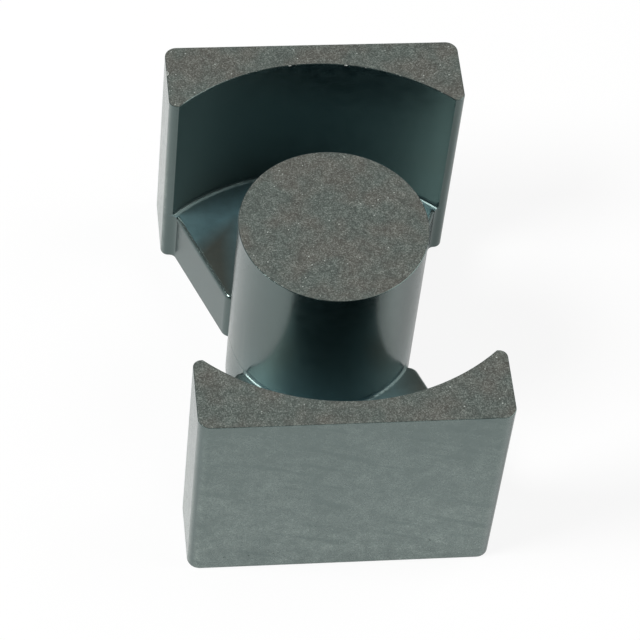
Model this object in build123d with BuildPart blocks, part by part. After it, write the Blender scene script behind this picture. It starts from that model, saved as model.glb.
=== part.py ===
from build123d import *
import os
from math import atan2, sqrt, tan

# Half of a round-post power core: one piece of sintered ferrite, open towards +Z.
# X runs across the legs, Y from one leg to the other, Z from the back face to the
# mating face. The origin is on the post's axis, at the back face. All sizes are in mm.

# Driving dimensions
length = 50.0              # over the two legs, along Y
width = 31.7               # over the leg tips, along X
height = 25.2              # back face to mating face
plate_thickness = 6.95     # back face to the floor of the winding window
post_diameter = 19.8       # round centre post
leg_wall = 2.75            # leg at its thinnest, behind the middle of the window
tip_land = 1.05            # end of a leg tip, along X, from its outer side to the window
corner_radius = 1.3        # upright outer corners of the legs
tip_radius = 0.85          # upright outer corners of the leg tips
nook_run = 0.50            # curve from a leg tip into the wing's side, along X
nook_setback = 0.33        # from the window at a leg tip in to the wing's side, along X
waist = 9.8                # gap between the two wings, along Y, bridged by the post alone
shoulder = 0.93            # how far a wing's inner corner stands out from the post
shoulder_radius = 1.1      # upright inner corners of the wings
rim_radius = 0.5           # edge between the window's floor and the sides of a wing
post_root_radius = 0.4     # foot of the post on the window's floor
wall_root_radius = 0.5     # foot of a leg's round wall on the window's floor

# Sizes that follow from them
post_radius = post_diameter / 2
window_radius = length / 2 - leg_wall
tip_corner_x = width / 2 - tip_land
tip_y = sqrt(window_radius**2 - tip_corner_x**2)
wing_outer_x = tip_corner_x - nook_setback
wing_inner_y = waist / 2
wing_inner_x = sqrt((post_radius + shoulder) ** 2 - wing_inner_y**2)
wing_angle = atan2(tip_y - wing_inner_y, wing_outer_x - wing_inner_x)
nook_radius = nook_run / tan(wing_angle / 2)


def corners(sketch, x, y):
    """The sketch's corners at (x, y) and (-x, y)."""
    return [
        corner
        for corner in sketch.vertices()
        if abs(abs(corner.X) - x) < 0.001 and abs(corner.Y - y) < 0.001
    ]


with BuildPart() as core_half:
    # Plate: two wings, tapered towards the post, with the edges of the floor rounded
    with BuildSketch() as wings:
        with BuildLine():
            Polyline(
                (0, wing_inner_y),
                (wing_inner_x, wing_inner_y),
                (wing_outer_x, tip_y),
                (width / 2, tip_y),
                (width / 2, length / 2),
                (0, length / 2),
            )
            mirror(about=Plane.YZ)
        make_face()
        fillet(corners(wings, width / 2, length / 2), corner_radius)
        fillet(corners(wings, width / 2, tip_y), tip_radius)
        fillet(corners(wings, wing_outer_x, tip_y), nook_radius)
        fillet(corners(wings, wing_inner_x, wing_inner_y), shoulder_radius)
        mirror(about=Plane.XZ)
    extrude(amount=plate_thickness)
    floor_edges = core_half.faces().group_by(Axis.Z)[-1].edges()
    fillet(floor_edges, rim_radius)

    # Legs: full height outside the foot of their round wall, which the window then shapes
    with BuildSketch():
        add(wings.sketch)
        Circle(window_radius - wall_root_radius, mode=Mode.SUBTRACT)
    extrude(amount=height)
    with BuildSketch(Plane.XZ) as window:
        with Locations((0, plate_thickness)):
            Rectangle(window_radius, height, align=(Align.MIN, Align.MIN))
        floor_corners = window.vertices().group_by(Axis.Y)[0]
        fillet(floor_corners.sort_by(Axis.X)[-1], wall_root_radius)
    revolve(axis=Axis.Z, mode=Mode.SUBTRACT)

    # Post: full height too, so its lower end fills the waist between the wings
    with BuildSketch():
        Circle(post_radius)
    extrude(amount=height)
    post_foot = [
        edge
        for edge in core_half.edges().filter_by(GeomType.CIRCLE)
        if abs(edge.radius - post_radius) < 0.001
        and abs(edge.center().Z - plate_thickness) < 0.001
    ]
    fillet(post_foot, post_root_radius)

core_half.part.label = "core_half"

os.makedirs("parts", exist_ok=True)
export_step(core_half.part, "parts/core_half.step")
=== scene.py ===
import math
import random

import bpy
from mathutils import Matrix, Vector


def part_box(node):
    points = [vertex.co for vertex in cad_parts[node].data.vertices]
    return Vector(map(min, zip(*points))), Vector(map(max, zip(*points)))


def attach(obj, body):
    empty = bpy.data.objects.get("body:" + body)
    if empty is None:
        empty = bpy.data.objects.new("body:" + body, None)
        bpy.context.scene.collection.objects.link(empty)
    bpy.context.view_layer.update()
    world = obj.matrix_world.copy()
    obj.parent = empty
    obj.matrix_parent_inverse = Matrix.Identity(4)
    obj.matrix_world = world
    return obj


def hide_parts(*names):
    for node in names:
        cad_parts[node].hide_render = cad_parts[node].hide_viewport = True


mm = 0.001

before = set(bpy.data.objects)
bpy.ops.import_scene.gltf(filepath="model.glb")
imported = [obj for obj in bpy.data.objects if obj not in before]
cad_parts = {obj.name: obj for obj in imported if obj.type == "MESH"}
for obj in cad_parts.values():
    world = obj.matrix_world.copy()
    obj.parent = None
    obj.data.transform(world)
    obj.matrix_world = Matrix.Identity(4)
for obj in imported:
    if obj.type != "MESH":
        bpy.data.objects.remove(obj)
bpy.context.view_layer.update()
coreLow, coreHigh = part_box("core_half")
print("frame loaded, core half", [round(side / mm, 2) for side in coreHigh - coreLow], "mm")


def deselectAll():
    for obj in bpy.context.selected_objects:
        obj.select_set(False)


def makeActive(obj):
    deselectAll()
    obj.select_set(True)
    bpy.context.view_layer.objects.active = obj


def applyModifier(obj, modifier):
    makeActive(obj)
    bpy.ops.object.modifier_apply(modifier=modifier.name)


# shader helpers: a node with its values, then links by socket name

def addNode(tree, kind, inputs=None, **settings):
    node = tree.nodes.new(kind)
    for name, value in settings.items():
        setattr(node, name, value)
    for name, value in (inputs or {}).items():
        node.inputs[name].default_value = value
    return node


def addRamp(tree, fac, stops):
    # stops are (place, colour) pairs
    ramp = addNode(tree, "ShaderNodeValToRGB")
    elements = ramp.color_ramp.elements
    while len(elements) < len(stops):
        elements.new(0.5)
    for element, (place, colour) in zip(elements, stops):
        element.position = place
        element.color = (*colour, 1)
    tree.links.new(fac, ramp.inputs["Fac"])
    return ramp.outputs["Color"]


def addShade(tree, fac, shades):
    # a grey to multiply a colour by, from dark to light
    dark, light = shades
    return addRamp(tree, fac, ((0.2, (dark,) * 3), (0.8, (light,) * 3)))


def addMap(tree, value, fromLow, fromHigh, toLow=0.0, toHigh=1.0):
    node = addNode(tree, "ShaderNodeMapRange", {
        "From Min": fromLow, "From Max": fromHigh, "To Min": toLow, "To Max": toHigh})
    tree.links.new(value, node.inputs["Value"])
    return node.outputs["Result"]


def addMath(tree, operation, first, second):
    node = addNode(tree, "ShaderNodeMath", operation=operation)
    for socket, value in zip(node.inputs, (first, second)):
        if isinstance(value, (int, float)):
            socket.default_value = value
        else:
            tree.links.new(value, socket)
    return node.outputs["Value"]


def addMix(tree, fac, first, second, blend="MIX"):
    # colours as sockets or as triples
    node = addNode(tree, "ShaderNodeMix", data_type="RGBA", blend_type=blend)
    for socket, value in zip((node.inputs[0], node.inputs[6], node.inputs[7]), (fac, first, second)):
        if isinstance(value, (int, float)):
            socket.default_value = value
        elif isinstance(value, tuple):
            socket.default_value = (*value, 1)
        else:
            tree.links.new(value, socket)
    return node.outputs[2]


# ferrite: one sintered black-green ceramic with two finishes, as fired and ground

grain = {
    "cloudSize": 5.0 * mm,     # soft patches left by pressing and firing
    "mottleSize": 1.1 * mm,
    "fleckSize": 0.13 * mm,    # the sinter's own grain
    "sparkleGap": 0.95 * mm,   # between the grains painted bright as glints
    "sparkleSize": 0.085 * mm,
}

fired = {
    "dark": (0.003, 0.007, 0.008),
    "light": (0.007, 0.014, 0.015),
    "brown": (0.024, 0.021, 0.016),
    "dustAndSheen": (0.200, 0.225, 0.205),   # rubbed dust on the outer faces and sides, more of it low down; it also paints in part of the floor's bright reflection on those faces
    "teal": (0.040, 0.085, 0.098),   # painted reflection inside: the window's floor, and the foot of walls and post
    "tint": (0.76, 1.0, 0.95, 1.0),
    "ior": 2.1,
    "roughness": (0.15, 0.22),
    "windowFloorRoughness": 0.42,
    "bump": 0.006 * mm,
    "streakLength": 9.0 * mm,   # faint rubbed lines along the outside of the legs
    "streakWidth": 0.9 * mm,
    "streakSlope": 18,          # degrees
    "streakNoise": (0.55, 0.70),    # where a streak starts and is full
    "streakWipe": 0.45,         # dust left in a full streak
    "dustAndSheenDepth": (0.4 * mm, 0.1 * mm),  # in from the outermost faces
    "dustAndSheenHeight": (0.95, 0.40),     # share at the back face and at the mating face
    "dustAndSheenGrain": (0.35, 1.0),
    "dustAndSheenMottle": (0.45, 1.0),
    "dustAndSheenCloud": (0.6, 1.1),
}

# painted reflection and light inside the window, not a real film: by distance from the post's axis and by
# height, each from none to full
paintedReflection = {
    "teal": (16.2 * mm, 18.4 * mm),
    "tealMiddle": (10.0 * mm, 7.0 * mm),    # across the legs, from the middle line
    "reach": (22.6 * mm, 22.3 * mm),
    "start": (6.90 * mm, 6.94 * mm),
    "floor": (7.20 * mm, 6.97 * mm),
    "climb": (16.0 * mm, 7.0 * mm),         # up the walls and the post
    "climbRadius": (11.0 * mm, 19.0 * mm),
    "climbShare": (1.0, 0.05),              # on the post and on the legs
    "postSide": (10.0 * mm, 9.95 * mm),
    "postFoot": (1.0 * mm, 6.9 * mm),       # below the floor, at the waist
    "uneven": (0.7, 1.0),
}

ground = {
    "dark": (0.018, 0.022, 0.019),
    "middle": (0.067, 0.079, 0.071),
    "light": (0.235, 0.260, 0.240),
    "green": (0.064, 0.090, 0.078),
    "warm": (0.096, 0.084, 0.068),
    "sparkle": (0.42, 0.46, 0.43),
    "ior": 1.55,
    "roughness": (0.45, 0.62),
    "toneShare": 0.35,           # of green and warm patches
    "patch": (0.86, 1.12),
    "sparkleCore": 0.55,         # full shine inside this share of a sparkle
    "bump": 0.010 * mm,
}

fresh = {
    "colour": (0.30, 0.32, 0.30),
    "ior": 1.8,
    "roughness": (0.4, 0.6),
    "grain": (0.6, 1.3),
}


def makeGrainGroup():
    # clouds, mottle and fleck from 0 to 1, and a height for a bump
    tree = bpy.data.node_groups.new("sinterGrain", "ShaderNodeTree")
    for name, value in (("Cloud Size", grain["cloudSize"]), ("Mottle Size", grain["mottleSize"]),
                        ("Fleck Size", grain["fleckSize"])):
        socket = tree.interface.new_socket(name, in_out="INPUT", socket_type="NodeSocketFloat")
        socket.default_value = value
    tree.interface.new_socket("Vector", in_out="INPUT", socket_type="NodeSocketVector")
    for name in ("Cloud", "Mottle", "Fleck", "Height"):
        tree.interface.new_socket(name, in_out="OUTPUT", socket_type="NodeSocketFloat")
    given = addNode(tree, "NodeGroupInput")
    result = addNode(tree, "NodeGroupOutput")

    def noise(sizeName, detail, low, high):
        node = addNode(tree, "ShaderNodeTexNoise", {"Detail": detail, "Roughness": 0.6})
        scale = addMath(tree, "DIVIDE", 1.0, given.outputs[sizeName])
        tree.links.new(scale, node.inputs["Scale"])
        tree.links.new(given.outputs["Vector"], node.inputs["Vector"])
        return addMap(tree, node.outputs["Fac"], low, high)

    cloud = noise("Cloud Size", 2.0, 0.32, 0.68)
    mottle = noise("Mottle Size", 3.0, 0.30, 0.70)
    fine = noise("Fleck Size", 1.0, 0.30, 0.70)

    # each grain of the sinter takes its own shade
    cells = addNode(tree, "ShaderNodeTexVoronoi", feature="F1")
    cellScale = addMath(tree, "DIVIDE", 1.0, given.outputs["Fleck Size"])
    tree.links.new(cellScale, cells.inputs["Scale"])
    tree.links.new(given.outputs["Vector"], cells.inputs["Vector"])
    shade = addNode(tree, "ShaderNodeSeparateColor")
    tree.links.new(cells.outputs["Color"], shade.inputs["Color"])
    half = addMath(tree, "MULTIPLY", shade.outputs["Red"], 0.55)
    rest = addMath(tree, "MULTIPLY", fine, 0.45)
    fleck = addMath(tree, "ADD", half, rest)

    coarse = addMath(tree, "MULTIPLY", mottle, 0.35)
    height = addMath(tree, "ADD", coarse, fleck)
    for name, socket in (("Cloud", cloud), ("Mottle", mottle), ("Fleck", fleck), ("Height", height)):
        tree.links.new(socket, result.inputs[name])
    return tree


def startMaterial(name, values):
    material = bpy.data.materials.new(name)
    material.use_nodes = True
    tree = material.node_tree
    shader = tree.nodes["Principled BSDF"]
    shader.inputs["IOR"].default_value = values["ior"]
    if "tint" in values:
        shader.inputs["Specular Tint"].default_value = values["tint"]
    place = addNode(tree, "ShaderNodeTexCoord").outputs["Object"]
    return material, tree, shader, place


def addGrain(tree, group, place):
    node = addNode(tree, "ShaderNodeGroup", node_tree=group)
    tree.links.new(place, node.inputs["Vector"])
    return node.outputs


def finishMaterial(tree, shader, colour, roughness, height, depth):
    tree.links.new(colour, shader.inputs["Base Color"])
    tree.links.new(roughness, shader.inputs["Roughness"])
    bump = addNode(tree, "ShaderNodeBump", {"Strength": 1.0, "Distance": depth})
    tree.links.new(height, bump.inputs["Height"])
    tree.links.new(bump.outputs["Normal"], shader.inputs["Normal"])


def makeFired(group):
    material, tree, shader, place = startMaterial("firedFerrite", fired)
    marks = addGrain(tree, group, place)
    parts = addNode(tree, "ShaderNodeSeparateXYZ")
    tree.links.new(place, parts.inputs["Vector"])
    colour = addRamp(tree, marks["Mottle"], ((0.2, fired["dark"]), (0.8, fired["light"])))

    # rubbed streaks, long along the leg and a little sloped, on the outside of both legs
    turned = addNode(tree, "ShaderNodeMapping", {
        "Rotation": (0, math.radians(-fired["streakSlope"]), 0)})
    tree.links.new(place, turned.inputs["Vector"])
    stretched = addNode(tree, "ShaderNodeMapping", {
        "Scale": (1 / fired["streakLength"], 1 / fired["streakLength"], 1 / fired["streakWidth"])})
    tree.links.new(turned.outputs["Vector"], stretched.inputs["Vector"])
    lines = addNode(tree, "ShaderNodeTexNoise", {"Scale": 1.0, "Detail": 2.0})
    tree.links.new(stretched.outputs["Vector"], lines.inputs["Vector"])
    clear = addMap(tree, lines.outputs["Fac"], *fired["streakNoise"], 1.0, fired["streakWipe"])

    # dust on the outer faces and sides, which also paints in part of the floor's bright reflection there:
    # cloudy, grainy, more of it low down, and wiped off along the streaks
    outward = addMath(tree, "ABSOLUTE", parts.outputs["Y"], 0)
    sideways = addMath(tree, "ABSOLUTE", parts.outputs["X"], 0)
    deep, shallow = fired["dustAndSheenDepth"]
    outside = addMath(tree, "MAXIMUM",
                      addMap(tree, outward, coreHigh.y - deep, coreHigh.y - shallow),
                      addMap(tree, sideways, coreHigh.x - deep, coreHigh.x - shallow))
    lowDown = addMap(tree, parts.outputs["Z"], 0, coreHigh.z, *fired["dustAndSheenHeight"])
    dustAndSheen = addMap(tree, marks["Fleck"], 0.2, 0.8, *fired["dustAndSheenGrain"])
    mottled = addMap(tree, marks["Mottle"], 0, 1, *fired["dustAndSheenMottle"])
    cloudy = addMap(tree, marks["Cloud"], 0, 1, *fired["dustAndSheenCloud"])
    for share in (mottled, cloudy, lowDown, outside, clear):
        dustAndSheen = addMath(tree, "MULTIPLY", dustAndSheen, share)
    # the dust, with its share of painted reflection, goes into the base colour
    colour = addMix(tree, dustAndSheen, colour, fired["dustAndSheen"])

    # painted reflection inside the window: brown at the floor's open side, teal by the legs, fading up
    # walls and post, painting how the floor mirrors its surroundings and how the lit floor is mirrored low
    # on the walls and post
    flat = addNode(tree, "ShaderNodeCombineXYZ")
    tree.links.new(parts.outputs["X"], flat.inputs["X"])
    tree.links.new(parts.outputs["Y"], flat.inputs["Y"])
    radius = addNode(tree, "ShaderNodeVectorMath", operation="LENGTH")
    tree.links.new(flat.outputs["Vector"], radius.inputs[0])
    radius = radius.outputs["Value"]
    height = parts.outputs["Z"]
    outer = addMath(tree, "MAXIMUM", addMap(tree, radius, *paintedReflection["teal"]),
                    addMap(tree, sideways, *paintedReflection["tealMiddle"]))
    paintedReflectionColour = addMix(tree, outer, fired["brown"], fired["teal"])
    above = addMap(tree, height, *paintedReflection["start"])
    postFoot = addMath(tree, "MULTIPLY", addMap(tree, radius, *paintedReflection["postSide"]),
                       addMap(tree, height, *paintedReflection["postFoot"]))
    inside = addMath(tree, "MULTIPLY", addMap(tree, radius, *paintedReflection["reach"]),
                     addMath(tree, "MAXIMUM", above, postFoot))
    onFloor = addMath(tree, "MULTIPLY", above, addMap(tree, height, *paintedReflection["floor"]))
    fading = addMap(tree, height, *paintedReflection["climb"])
    fading = addMath(tree, "MULTIPLY", fading, fading)
    climbing = addMath(tree, "MULTIPLY", fading,
                       addMap(tree, radius, *paintedReflection["climbRadius"], *paintedReflection["climbShare"]))
    paintedReflectionShare = addMath(tree, "MULTIPLY", inside, addMath(tree, "MAXIMUM", onFloor, climbing))
    uneven = addMap(tree, marks["Mottle"], 0, 1, *paintedReflection["uneven"])
    paintedReflectionShare = addMath(tree, "MULTIPLY", paintedReflectionShare, uneven)
    # the painted reflection goes into the base colour
    colour = addMix(tree, paintedReflectionShare, colour, paintedReflectionColour)

    low, high = fired["roughness"]
    rough = addNode(tree, "ShaderNodeMix")
    tree.links.new(addMath(tree, "MULTIPLY", inside, onFloor), rough.inputs[0])
    tree.links.new(addMap(tree, marks["Mottle"], 0, 1, low, high), rough.inputs[2])
    rough.inputs[3].default_value = fired["windowFloorRoughness"]
    finishMaterial(tree, shader, colour, rough.outputs[0], marks["Height"], fired["bump"])
    return material


def makeGround(group):
    material, tree, shader, place = startMaterial("groundFerrite", ground)
    marks = addGrain(tree, group, place)
    colour = addRamp(tree, marks["Fleck"], (
        (0.12, ground["dark"]), (0.50, ground["middle"]), (0.92, ground["light"])))
    tone = addRamp(tree, marks["Cloud"], ((0.25, ground["green"]), (0.80, ground["warm"])))
    colour = addMix(tree, ground["toneShare"], colour, tone)
    patch = addShade(tree, marks["Mottle"], ground["patch"])
    colour = addMix(tree, 1.0, colour, patch, "MULTIPLY")

    # painted glints: a few grains painted bright in the base colour, as if they catch the light
    stars = addNode(tree, "ShaderNodeTexVoronoi", {"Scale": 1 / grain["sparkleGap"]}, feature="F1")
    tree.links.new(place, stars.inputs["Vector"])
    reach = grain["sparkleSize"] / grain["sparkleGap"]
    star = addMap(tree, stars.outputs["Distance"], reach, reach * ground["sparkleCore"])
    colour = addMix(tree, star, colour, ground["sparkle"])

    low, high = ground["roughness"]
    finishMaterial(tree, shader, colour, addMap(tree, marks["Fleck"], 0, 1, high, low),
                   marks["Height"], ground["bump"])
    return material


def makeFresh(group):
    # the pale broken surface in a nick
    material, tree, shader, place = startMaterial("freshFerrite", fresh)
    marks = addGrain(tree, group, place)
    shade = addShade(tree, marks["Fleck"], fresh["grain"])
    colour = addMix(tree, 1.0, fresh["colour"], shade, "MULTIPLY")
    low, high = fresh["roughness"]
    finishMaterial(tree, shader, colour, addMap(tree, marks["Fleck"], 0, 1, high, low),
                   marks["Height"], ground["bump"])
    return material


grainGroup = makeGrainGroup()
firedFerrite = makeFired(grainGroup)
groundFerrite = makeGround(grainGroup)
freshFerrite = makeFresh(grainGroup)
print("materials made: fired, ground and freshly broken ferrite")


# the core half: a copy of the frame's mesh, with broken edges, nicks and pits

core = {
    "groundBevel": 0.07 * mm,     # round the ground mating faces
    "backBevel": 0.14 * mm,       # round the back face
    "smoothAngle": 20,            # degrees
    "postRadius": 9.9 * mm,
    "windowRadius": 22.25 * mm,
    "tip": (14.8 * mm, 16.6 * mm),
    "legSide": (17.6 * mm, 23.4 * mm),  # a leg's flat outer side runs between these places along Y
    "arcNicks": 16,               # on each leg's inner edge
    "rimNicks": 14,               # on the post's edge
    "sideNicks": 9,               # on each straight outer edge
    "nickSize": (0.035 * mm, 0.10 * mm),
    "nickLift": 0.6,              # upward part of the direction in which a nick opens
    "nickTilt": 0.4,              # radians
    "nickHeight": (0.7, 1.1),     # share of a nick's radius
    "rimStretch": (1, 1.8),       # length of a nick along its edge, in radii
    "arcStretch": (1, 2.2),
    "sideStretch": (1, 2),
    "largeStretch": 1.4,
    "sink": 0.35,                 # how far out a nick's middle lies, in radii
    "pits": 26,                   # on the outside of each leg
    "pitSize": (0.05 * mm, 0.13 * mm),
    "pitShrink": (0.6, 1),
    "pitAcross": 0.88,            # share of the leg's half width
    "pitHeights": (0.04, 0.9, 0.08),    # lowest, highest and commonest, as shares of the height
    "pitStretch": 1.3,
    "pitSink": 0.7,
    "largePitSink": 0.45,
    "seed": 11,
}

# nicks that stand out: place on the mating face along X and Y, radius, and the way it opens
largeNicks = (
    (-15.80 * mm, 21.3 * mm, 0.34 * mm, (-1, 0, 0.5)),
    (9.55 * mm, 2.6 * mm, 0.20 * mm, (9.55, 2.6, 4)),
    (8.90 * mm, 4.4 * mm, 0.16 * mm, (8.9, 4.4, 4)),
    (-2.55 * mm, 22.1 * mm, 0.17 * mm, (2.55, -22.1, 9)),
    (3.50 * mm, 21.97 * mm, 0.19 * mm, (-3.5, -21.97, 9)),
)

# pits that stand out on the front leg: X, Z and radius
largePits = (
    (-12.1 * mm, 2.0 * mm, 0.19 * mm),
    (-9.6 * mm, 2.2 * mm, 0.15 * mm),
    (-7.0 * mm, 2.3 * mm, 0.13 * mm),
    (9.25 * mm, 3.7 * mm, 0.15 * mm),
)


def copyCore():
    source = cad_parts["core_half"]
    makeActive(source)
    bpy.ops.object.duplicate()
    piece = bpy.context.view_layer.objects.active
    piece.name = "ferriteCore"
    piece.parent = None
    for key in list(piece.keys()):
        del piece[key]
    bpy.ops.object.mode_set(mode="EDIT")
    bpy.ops.mesh.select_all(action="SELECT")
    bpy.ops.mesh.customdata_custom_splitnormals_clear()
    bpy.ops.mesh.remove_doubles(threshold=0.002 * mm)
    bpy.ops.mesh.dissolve_limited(angle_limit=math.radians(0.05))
    bpy.ops.object.mode_set(mode="OBJECT")
    return piece


def bevelEdges(piece, width, wanted):
    # wanted is asked about both ends of each edge
    mesh = piece.data
    makeActive(piece)
    for item in (*mesh.vertices, *mesh.polygons):
        item.select = False
    for edge in mesh.edges:
        edge.select = wanted(*(mesh.vertices[i].co for i in edge.vertices))
    bpy.ops.object.mode_set(mode="EDIT")
    bpy.ops.mesh.select_mode(type="EDGE")
    bpy.ops.mesh.bevel(offset=width, segments=2, affect="EDGES", clamp_overlap=True)
    bpy.ops.object.mode_set(mode="OBJECT")


def atHeight(z):
    return lambda a, b: abs(a.z - z) < 0.005 * mm and abs(b.z - z) < 0.005 * mm


def addCutter(cutters, place, radius, turn, stretch, sink=core["sink"]):
    # a lump set out from the surface, so that it cuts a shallow nick; place is a point and a way out
    point, out = place
    away = Vector(out).normalized() * radius * sink
    tilt = core["nickTilt"]
    bpy.ops.mesh.primitive_ico_sphere_add(
        subdivisions=1, radius=radius, location=Vector(point) + away,
        rotation=(random.uniform(-tilt, tilt), random.uniform(-tilt, tilt), turn),
        scale=(stretch, 1, random.uniform(*core["nickHeight"])))
    cutters.append(bpy.context.object)


def addNicks(cutters):
    top = coreHigh.z
    post, window = core["postRadius"], core["windowRadius"]
    reach = math.acos(core["tip"][1] / window)
    lift = core["nickLift"]

    def size():
        low, high = core["nickSize"]
        return low + (high - low) * random.random() ** 2

    for _ in range(core["rimNicks"]):
        turn = random.uniform(0, math.tau)
        out = (math.cos(turn), math.sin(turn), lift)
        place = (post * math.cos(turn), post * math.sin(turn), top)
        addCutter(cutters, (place, out), size(), turn + math.pi / 2, random.uniform(*core["rimStretch"]))
    for side in (1, -1):
        for _ in range(core["arcNicks"]):
            turn = side * math.pi / 2 + random.uniform(-reach, reach) * 0.96
            out = (-math.cos(turn), -math.sin(turn), lift)
            place = (window * math.cos(turn), window * math.sin(turn), top)
            addCutter(cutters, (place, out), size(), turn + math.pi / 2,
                      random.uniform(*core["arcStretch"]))
        for _ in range(core["sideNicks"]):
            x = random.uniform(-0.9, 0.9) * core["tip"][0]
            addCutter(cutters, ((x, side * coreHigh.y, top), (0, side, lift)), size(), 0,
                      random.uniform(*core["sideStretch"]))
            y = random.choice((1, -1)) * random.uniform(*core["legSide"])
            addCutter(cutters, ((side * coreHigh.x, y, top), (side, 0, lift)), size(), math.pi / 2,
                      random.uniform(*core["sideStretch"]))
    for x, y, radius, out in largeNicks:
        addCutter(cutters, ((x, y, top), out), radius, math.atan2(y, x) + math.pi / 2,
                  core["largeStretch"])


def addPits(cutters):
    across, stretch = core["pitAcross"], core["pitStretch"]
    for side in (1, -1):
        for _ in range(core["pits"]):
            x = random.uniform(-across, across) * coreHigh.x
            z = coreHigh.z * random.triangular(*core["pitHeights"])
            radius = random.uniform(*core["pitSize"]) * random.uniform(*core["pitShrink"])
            addCutter(cutters, ((x, side * coreHigh.y, z), (0, side, 0)), radius, 0, stretch,
                      core["pitSink"])
    for x, z, radius in largePits:
        addCutter(cutters, ((x, coreLow.y, z), (0, -1, 0)), radius, 0, stretch, core["largePitSink"])


def cutAway(piece, cutters, material, name):
    # all the lumps as one mesh, each with the material that its cut will show
    deselectAll()
    for cutter in cutters:
        cutter.data.materials.append(material)
        cutter.select_set(True)
    bpy.context.view_layer.objects.active = cutters[0]
    bpy.ops.object.join()
    joined = bpy.context.object
    joined.name = name
    cut = piece.modifiers.new(name, "BOOLEAN")
    cut.operation = "DIFFERENCE"
    cut.solver = "EXACT"
    cut.use_self = True
    cut.material_mode = "TRANSFER"
    cut.object = joined
    applyModifier(piece, cut)
    makeActive(joined)
    bpy.ops.object.delete()


def paintCore(piece):
    # ground on the mating faces, fired on the rest
    mesh = piece.data
    mesh.materials.clear()
    mesh.materials.append(firedFerrite)
    mesh.materials.append(groundFerrite)
    for face in mesh.polygons:
        face.material_index = int(face.normal.z > 0.99 and face.center.z > coreHigh.z - 0.01 * mm)


def cleanCore(piece):
    # slivers that the cuts leave
    makeActive(piece)
    bpy.ops.object.mode_set(mode="EDIT")
    bpy.ops.mesh.select_all(action="SELECT")
    bpy.ops.mesh.remove_doubles(threshold=0.001 * mm)
    bpy.ops.mesh.dissolve_degenerate(threshold=0.001 * mm)
    bpy.ops.mesh.delete_loose()
    bpy.ops.object.mode_set(mode="OBJECT")
    piece.data.validate()


def smoothCore(piece):
    makeActive(piece)
    bpy.ops.object.shade_smooth_by_angle(angle=math.radians(core["smoothAngle"]))
    weighted = piece.modifiers.new("evenShading", "WEIGHTED_NORMAL")
    weighted.keep_sharp = True
    weighted.weight = 50
    applyModifier(piece, weighted)


def makeCore():
    random.seed(core["seed"])
    piece = copyCore()
    print("core copied:", len(piece.data.polygons), "faces")
    bevelEdges(piece, core["groundBevel"], atHeight(coreHigh.z))
    bevelEdges(piece, core["backBevel"], atHeight(coreLow.z))
    paintCore(piece)
    print("edges broken:", len(piece.data.polygons), "faces")
    nicks, pits = [], []
    addNicks(nicks)
    cutAway(piece, nicks, freshFerrite, "nicks")
    addPits(pits)
    cutAway(piece, pits, firedFerrite, "pits")
    cleanCore(piece)
    smoothCore(piece)
    print("nicks and pits cut:", len(piece.data.polygons), "faces")
    return piece


ferriteCore = makeCore()
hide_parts("core_half")
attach(ferriteCore, "root")


# studio: pale floor, soft lamps, and a room that is white low down and dimmer overhead

studio = {
    "floorSize": 3.0,
    "floorColour": (0.86, 0.86, 0.86),
    "floorGlow": 0.88,              # share of plain white in what the camera sees of the floor
    "floorShine": 0.45,             # the same for reflections
    "roomLow": (1.0, 1.0, 1.0),
    "roomHigh": (0.26, 0.25, 0.235),
    "roomFront": (0.10, 0.105, 0.105),
    "lamps": {
        "leftKey": {"place": (-0.60, -0.10, 0.62), "size": 0.36, "power": 8.0},
        "rightFill": {"place": (0.58, 0.10, 0.68), "size": 0.60, "power": 2.4},
        "rightLow": {"place": (0.70, -0.22, 0.30), "size": 0.16, "power": 0.5},
    },
}


def makeFloor():
    bpy.ops.mesh.primitive_plane_add(size=studio["floorSize"], location=(0, 0, -0.02 * mm))
    floor = bpy.context.object
    floor.name = "floor"
    material = bpy.data.materials.new("paleFloor")
    material.use_nodes = True
    tree = material.node_tree
    shader = tree.nodes["Principled BSDF"]
    shader.inputs["Base Color"].default_value = (*studio["floorColour"], 1)
    shader.inputs["Roughness"].default_value = 0.9
    shader.inputs["Specular IOR Level"].default_value = 0.0
    white = addNode(tree, "ShaderNodeEmission", {"Strength": 1.0})
    path = addNode(tree, "ShaderNodeLightPath")
    mirrored = addMath(tree, "MAXIMUM", path.outputs["Is Glossy Ray"], path.outputs["Is Transmission Ray"])
    mirrored = addMath(tree, "MULTIPLY", mirrored, studio["floorShine"])
    seen = addMath(tree, "MULTIPLY", path.outputs["Is Camera Ray"], studio["floorGlow"])
    share = addMath(tree, "MAXIMUM", seen, mirrored)
    mixed = addNode(tree, "ShaderNodeMixShader")
    tree.links.new(share, mixed.inputs["Fac"])
    tree.links.new(shader.outputs["BSDF"], mixed.inputs[1])
    tree.links.new(white.outputs["Emission"], mixed.inputs[2])
    tree.links.new(mixed.outputs["Shader"], tree.nodes["Material Output"].inputs["Surface"])
    floor.data.materials.append(material)


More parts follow.
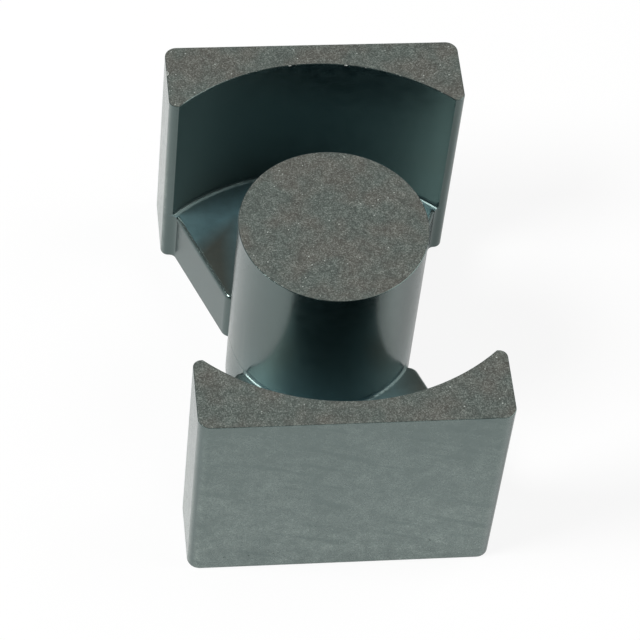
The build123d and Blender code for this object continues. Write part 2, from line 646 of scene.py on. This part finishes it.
def makeRoom():
    world = bpy.data.worlds.new("room")
    bpy.context.scene.world = world
    world.use_nodes = True
    tree = world.node_tree
    towards = addNode(tree, "ShaderNodeTexCoord").outputs["Generated"]
    parts = addNode(tree, "ShaderNodeSeparateXYZ")
    tree.links.new(towards, parts.inputs["Vector"])
    frontness = addMap(tree, parts.outputs["Y"], 0.15, -0.45)
    high = addMix(tree, frontness, studio["roomHigh"], studio["roomFront"])
    rise = addMap(tree, parts.outputs["Z"], 0.05, 0.32)
    colour = addMix(tree, rise, studio["roomLow"], high)
    tree.links.new(colour, tree.nodes["Background"].inputs["Color"])


def makeLamp(name, values):
    bpy.ops.object.light_add(type="AREA", location=values["place"])
    lamp = bpy.context.object
    lamp.name = name
    lamp.data.shape = "DISK"
    lamp.data.size = values["size"]
    lamp.data.energy = values["power"]
    aim = Vector((0, 0, 0.01)) - Vector(values["place"])
    lamp.rotation_euler = aim.to_track_quat("-Z", "Y").to_euler()


# camera: yaw to the right, pitch down and roll, in degrees
camera = {
    "place": (-0.040378, -0.201938, 0.277012),
    "yaw": 11.242,
    "pitch": 52.457,
    "roll": 7.125,
    "lens": 177.66,
    "sensor": 36.0,
}


def makeCamera():
    yaw, pitch, roll = (math.radians(camera[name]) for name in ("yaw", "pitch", "roll"))
    ahead = Vector((math.sin(yaw) * math.cos(pitch), math.cos(yaw) * math.cos(pitch), -math.sin(pitch)))
    level = Vector((math.cos(yaw), -math.sin(yaw), 0))
    upward = level.cross(ahead)
    right = level * math.cos(roll) + upward * math.sin(roll)
    above = upward * math.cos(roll) - level * math.sin(roll)
    data = bpy.data.cameras.new("camera")
    data.lens = camera["lens"]
    data.sensor_width = camera["sensor"]
    data.clip_start = 0.01
    obj = bpy.data.objects.new("camera", data)
    bpy.context.scene.collection.objects.link(obj)
    turn = Matrix((right, above, -ahead)).transposed().to_4x4()
    obj.matrix_world = Matrix.Translation(camera["place"]) @ turn
    bpy.context.scene.camera = obj


makeFloor()
makeRoom()
for lampName, values in studio["lamps"].items():
    makeLamp(lampName, values)
makeCamera()
bpy.context.scene.view_settings.view_transform = "Standard"
print("studio set: floor, room, lamps and camera")
